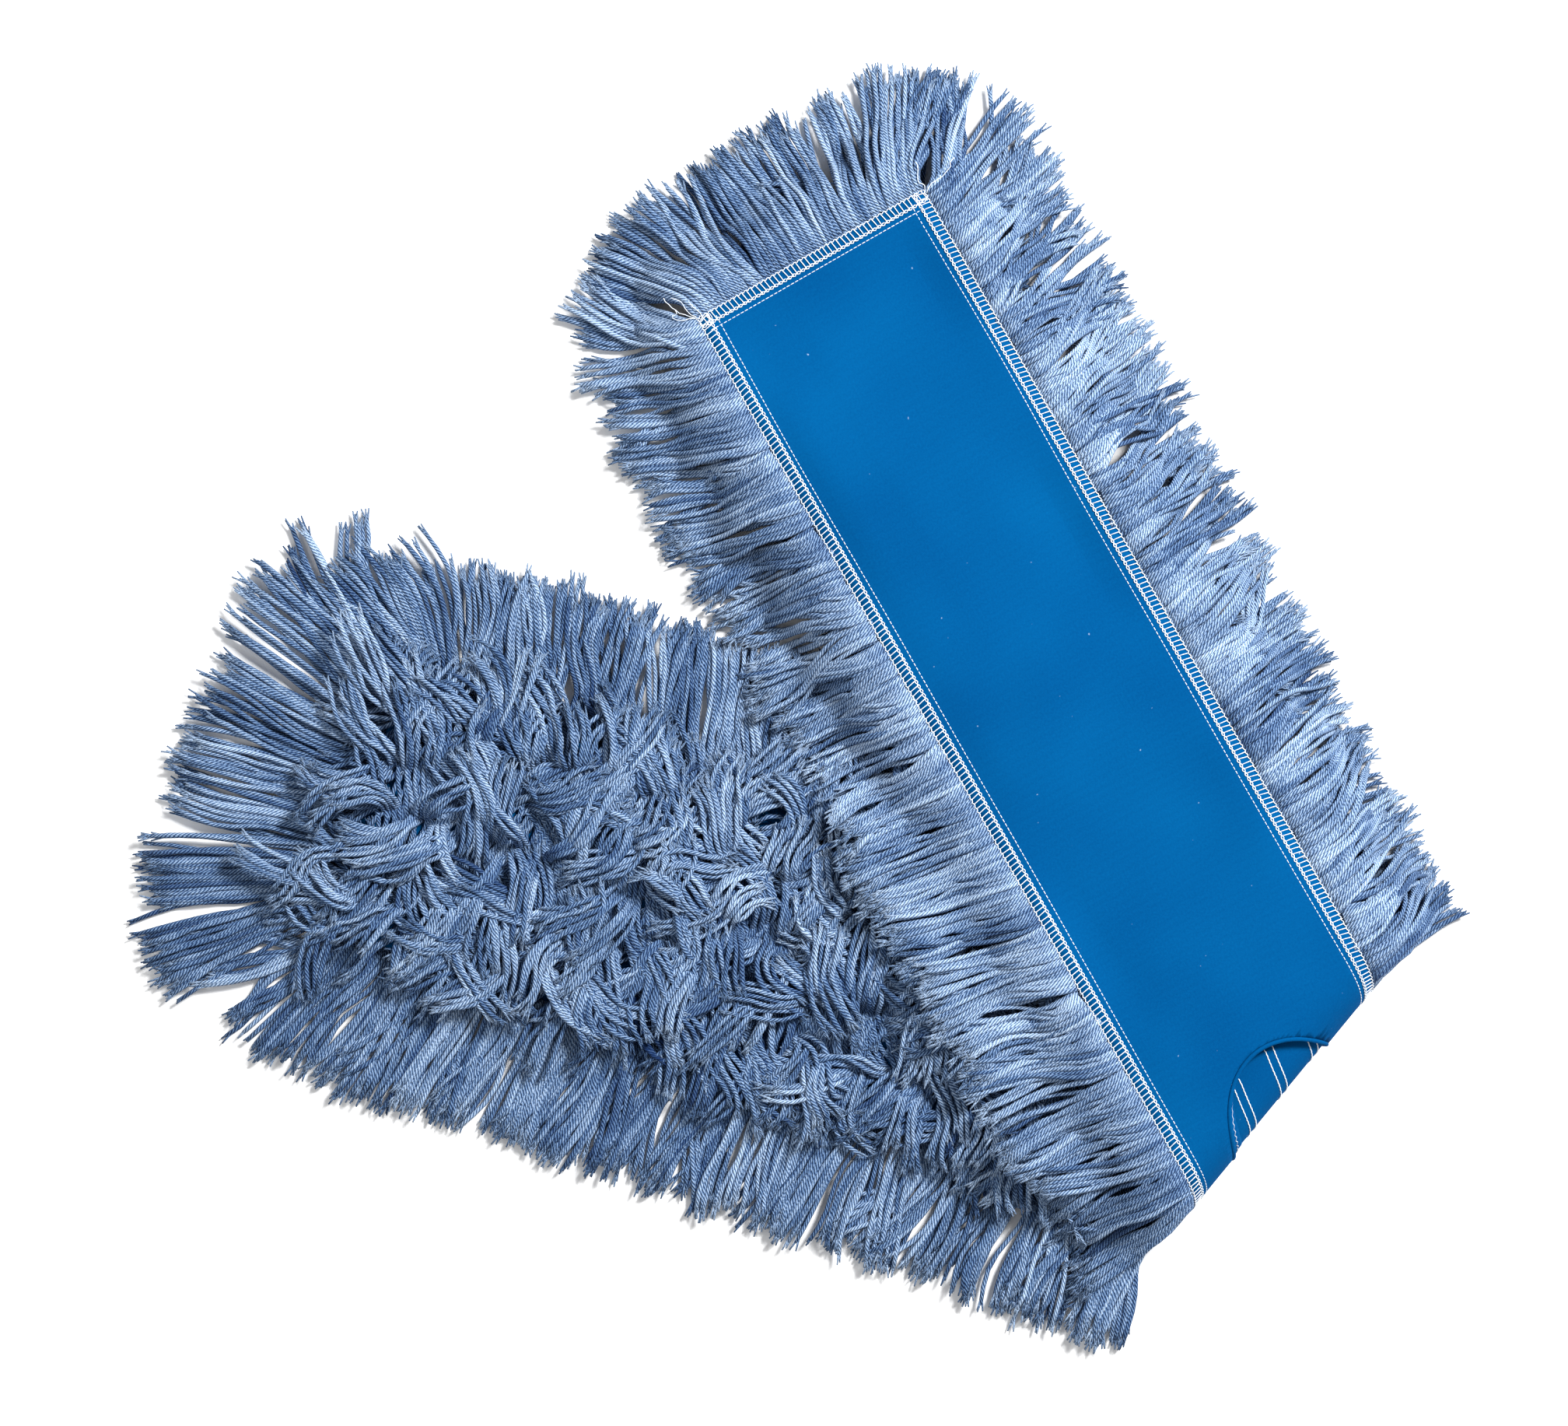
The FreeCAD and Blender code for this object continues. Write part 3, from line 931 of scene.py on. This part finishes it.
def fringe_lock(strands, side, half, layer, place, width):
    """A lock whose root takes up a width of the edge, from a place along it."""
    dice = strands.dice
    upper = half == "upper"
    sign = 1 if upper else -1
    second = layer % 2
    deep = FACE + (2.2 - 1.3 * second) * MM
    root, heading = edge_root(side, sign, place + width / 2, deep)
    across = np.array([-math.sin(heading), math.cos(heading), 0])
    outwards = np.array([math.cos(heading), math.sin(heading), 0])
    length = (END_FRINGE if side == "end" and not upper else FRINGE) * dice.uniform(0.92, 1.04)
    lift = (0.2 + 2.1 * second + dice.uniform(0, 2.4)) * MM
    level = fringe_level(root, length, lift, dice.uniform(8, 13), upper)
    curling, stray, sway, spread = COMBED if side == "end" else LOOSE
    curl = dice.gauss(0, curling)
    lean = edge_lean(side, place + width / 2) * (1.5 if layer == 2 else 1)
    bend = swaying(dice, lean + dice.gauss(0, stray), curl, sway)
    middle, headings = middle_line(root, heading, bend, length, level)
    # Painted shade in the tint: the first layer, which lies lower, is set darker than the second. The
    # upper half's side fringes are set lighter than the lower half's and the ends'.
    tint = (0.36 if side == "end" else 0.46 if upper else 0.38) + dice.gauss(0, 0.15)
    tint += 0.1 * second - 0.08
    pinch = dice.uniform(0.0, 0.16) if side == "end" else dice.uniform(0.05, 0.4)
    count = max(2, round(width / STRAND_PITCH * (1.0 + 0.3 * layer)))
    for number in range(count):
        own_place = place + width * (number + dice.uniform(0.2, 0.8)) / count
        offset = edge_root(side, sign, own_place, deep)[0] - root
        beside = float(offset @ across)
        drift = beside * (dice.uniform(-0.25, 0.2) + spread) + dice.gauss(0, 2.3) * MM
        if dice.random() < 0.05:
            drift += dice.choice((-1, 1)) * dice.uniform(6, 14) * MM
        lift, cut = dice.uniform(0, 2.2) * MM, dice.uniform(0.87, 1.0)
        strands.lay(middle, headings, beside, lift, cut, pinch, drift, tint + dice.gauss(0, 0.16),
                    float(offset @ outwards), offset[2])


# %% Fringe
def fringe(side, half):
    """The long cut yarn along one edge of one half, layer by layer."""
    sign = 1 if half == "upper" else -1
    strands = Strands("fringe %s %s" % (side, half))
    begin = {"end": 0, "left": -sign, "right": sign}[side] * HALF_WIDTH * math.tan(SKEW)
    finish = HALF_WIDTH * 2 if side == "end" else HALF_LENGTH
    for layer in range(3):
        place = begin
        while place < finish - 1 * MM:
            if layer == 2 and not at_corner(side, place):
                place += 1 * MM
                continue
            width = min(LOCK * strands.dice.uniform(0.5, 1.5), finish - place)
            fringe_lock(strands, side, half, layer, place, width)
            place += width
    return strands.piece("fringe_%s_%s_yarn" % (side, half))


for half in ("lower", "upper"):
    for side in ("left", "right", "end"):
        fringe(side, half)

# %% [markdown]
# ## Pile
# The rows of tufts are the same yarn in shorter locks that fall over each other: the
# outer rows outwards over the fringe, the middle ones in patches that lie one way or
# the other. On the open half they arch up; under the upper half they are pressed flat.
# A tuft is sewn down at its middle, so each one falls to both sides of its seam: a lock
# that shows, and a few low strands that cover the cloth.

# %% How tufts fall
LOCK_PITCH = {"lower": 4.0 * MM, "upper": 6.5 * MM}    # sparser where the pile is hidden


def upper_underside(x, y):
    """Height of the upper half's base cloth over x, y."""
    return 2 * ROLL + (fold_place(x, y)[0] + ROLL) * TAN_SLOPE - CLOTH_STACK - 0.5 * MM


def lock_heading(dice, row, place, sign):
    """Which way a tuft falls: outwards, in patches, and towards the end at the end."""
    outward = 2 * row_middle(row) / (ROW_PITCH * (TUFT_ROWS - 1))
    patch = noise.noise(Vector((place * 26, row * 1.7, sign * 3.0)))
    way = 1 if patch * 1.6 + outward * 0.75 + dice.gauss(0, 0.25) > 0 else -1
    turned = noise.noise(Vector((place * 34, row * 2.3, 9.0 + sign))) * 1.8 + dice.gauss(0, 0.28)
    fall = -way * math.pi / 2 + turned
    return fall * (1 - math.exp(-(HALF_LENGTH - place) / (20 * MM)))


def tuft_level(crown, tip, thick, upper):
    """A tuft arches up, and lies between what is below it and what is above it."""

    def level(x, y, share):
        arch = smooth(share * 2.6) * (1 - (1 - tip) * smooth(share * 1.6 - 0.6))
        if upper:
            low = lower_top(x, y) + YARN_RADIUS
            high = upper_underside(x, y) - YARN_RADIUS - thick
            return max(low, high - (high - low) * crown * arch)
        beyond = smooth(outside(*on_lower(x, y)) / (20 * MM))
        bed = (CLOTH_STACK + YARN_RADIUS) * (1 - beyond) + 6.5 * MM * beyond
        top = pile_top(x, y) - YARN_RADIUS - thick
        return max(YARN_RADIUS, min(top, bed + (top - bed) * crown * arch))

    return level


# %% One tuft
def under_lock(strands, root, heading, length, level, tint):
    """The other side of the same tuft, which lies low and covers the cloth."""

    def low(x, y, share):
        return level(x, y, 0.1)

    middle, headings = middle_line(root, heading, swaying(strands.dice, 0, 0), length, low)
    for beside in (-3.2 * MM, 0, 3.2 * MM):
        # Painted shade: these strands are set darker, as they lie under the lock.
        strands.lay(middle, headings, beside, 0, strands.dice.uniform(0.8, 1.0), -0.1,
                    strands.dice.gauss(0, 1.5) * MM, tint - 0.1)


def tuft(strands, row, half, begin, place, endwards):
    """A lock that shows and, for most tufts, a few strands under it."""
    dice = strands.dice
    upper = half == "upper"
    sign = 1 if upper else -1
    flat = (sign * place, row_middle(row) + dice.uniform(-4, 4) * MM, CLOTH_STACK)
    root = folded([flat])[0]
    length = FRINGE * dice.uniform(0.5, 0.78)
    from_edge = 1 - abs(row_middle(row)) / (ROW_PITCH * TUFT_ROWS / 2)
    crown = dice.uniform(0.1, 0.65) + 0.35 * from_edge
    tip = dice.uniform(0.6, 1.05)
    thick = dice.choice((2.0, 3.6)) * MM
    level = tuft_level(crown, tip, thick, upper)
    calm = 1 - math.exp((begin - place) / (30 * MM))
    fall = lock_heading(dice, row, place, sign)
    heading = endwards + fall * calm
    lean, curl = dice.gauss(0, 0.2), max(-1.5, min(1.5, dice.gauss(0, 0.8)))
    bend = swaying(dice, lean, calm * curl, 0.25)
    middle, headings = middle_line(root, heading, bend, length, level)
    # Painted shade: the pile's tint starts darker than the fringe's, and a tuft that arches higher is
    # set lighter.
    tint = 0.14 + 0.35 * crown + dice.gauss(0, 0.16)
    count = dice.choice((4, 5, 6, 7, 8))
    pinch = dice.uniform(-0.2, 0.3)
    for number in range(count):
        beside = (number - (count - 1) / 2) * 1.15 * MM + dice.gauss(0, 0.5) * MM
        drift = beside * dice.uniform(0.2, 1.0) + dice.gauss(0, 1.8) * MM
        lift, cut = dice.uniform(0, thick), dice.uniform(0.82, 1.0)
        strands.lay(middle, headings, beside, lift, cut, pinch, drift, tint + dice.gauss(0, 0.16))
    if dice.random() < 0.75:
        under_lock(strands, root, endwards - fall * calm, length * 0.75, level, tint)


# %% Tuft rows
def tufts(row, half):
    """One row of cut tufts along one half."""
    sign = 1 if half == "upper" else -1
    strands = Strands("tufts %d %s" % (row, half))
    near, far = folded([(sign * 150 * MM, 0, 0), (sign * 250 * MM, 0, 0)])
    endwards = math.atan2(far[1] - near[1], far[0] - near[0])
    begin = 26 * MM + sign * row_middle(row) * math.tan(SKEW)
    place = begin
    while place < HALF_LENGTH - 4 * MM:
        tuft(strands, row, half, begin, place, endwards)
        place += LOCK_PITCH[half] * strands.dice.uniform(0.7, 1.3)
    return strands.piece("tuft_row_%d_%s_yarn" % (row, half))


for half in ("lower", "upper"):
    for row in range(1, TUFT_ROWS + 1):
        tufts(row, half)

# %% [markdown]
# ## Loose ends
# Where the machine ran off the corner it left short tails of thread. They are small, but
# they are what makes a sewn corner look sewn.


# %% Thread tails
def thread_tails():
    """A few tails at two corners of the upper end."""
    dice = random.Random(5)
    lines = []
    for across, count in ((-HALF_WIDTH, 5), (HALF_WIDTH, 2)):
        for _ in range(count):
            along = HALF_LENGTH + dice.uniform(-3, 1) * MM
            spot = [along, across * 1.01, FACE - 0.6 * MM]
            way = dice.uniform(-0.9, 0.9)
            line = []
            for _ in range(9):
                line.append(tuple(spot))
                way += dice.gauss(0, 0.5)
                spot[0] += math.cos(way) * 2.1 * MM
                spot[1] += math.sin(way) * 2.1 * MM + math.copysign(0.9 * MM, across)
                spot[2] += dice.uniform(-0.4, 0.4) * MM
            lines.append(folded(line))
    return tubes("thread_tails", lines, THREAD_RADIUS * 0.8, THREAD)


thread_tails()
print("tail faces:", len(pieces["thread_tails"].data.polygons))

# %% [markdown]
# ## Joining the pieces to the frame
# The yarn, the end seams and the thread tails ride on the half that moves them, and the
# pieces hide the plain solids they stand for. Cloth and thread that cross the fold ride
# on neither half; they keep the shape they were folded to.

# %% Ride and replace
for half in ("lower", "upper"):
    body = half + "_half"
    names = ["fringe_left", "fringe_right", "fringe_end"]
    names += ["tuft_row_%d" % row for row in range(1, TUFT_ROWS + 1)]
    for name in names:
        piece = pieces["%s_%s_yarn" % (name, half)]
        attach(piece, body)
        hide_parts("%s_%s" % (name, half))
    for name in ("overlock_end_" + half, "topstitch_end_" + half):
        piece = pieces[name + "_thread"]
        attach(piece, body)
        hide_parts(name)

CLOTHS = ("pocket_cloth", "base_cloth", "slot_hem")
SIDE_SEAMS = ("overlock_left_thread", "overlock_right_thread",
              "topstitch_left_thread", "topstitch_right_thread")
for name in CLOTHS + ("slot_zigzag", "row_stitches") + SIDE_SEAMS:
    node = name.removesuffix("_thread")
    bend_at_fold(pieces[name])
    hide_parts(node + "_lower", node + "_upper")

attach(pieces["thread_tails"], "upper_half")
print("pieces joined to the frame:", len(pieces))
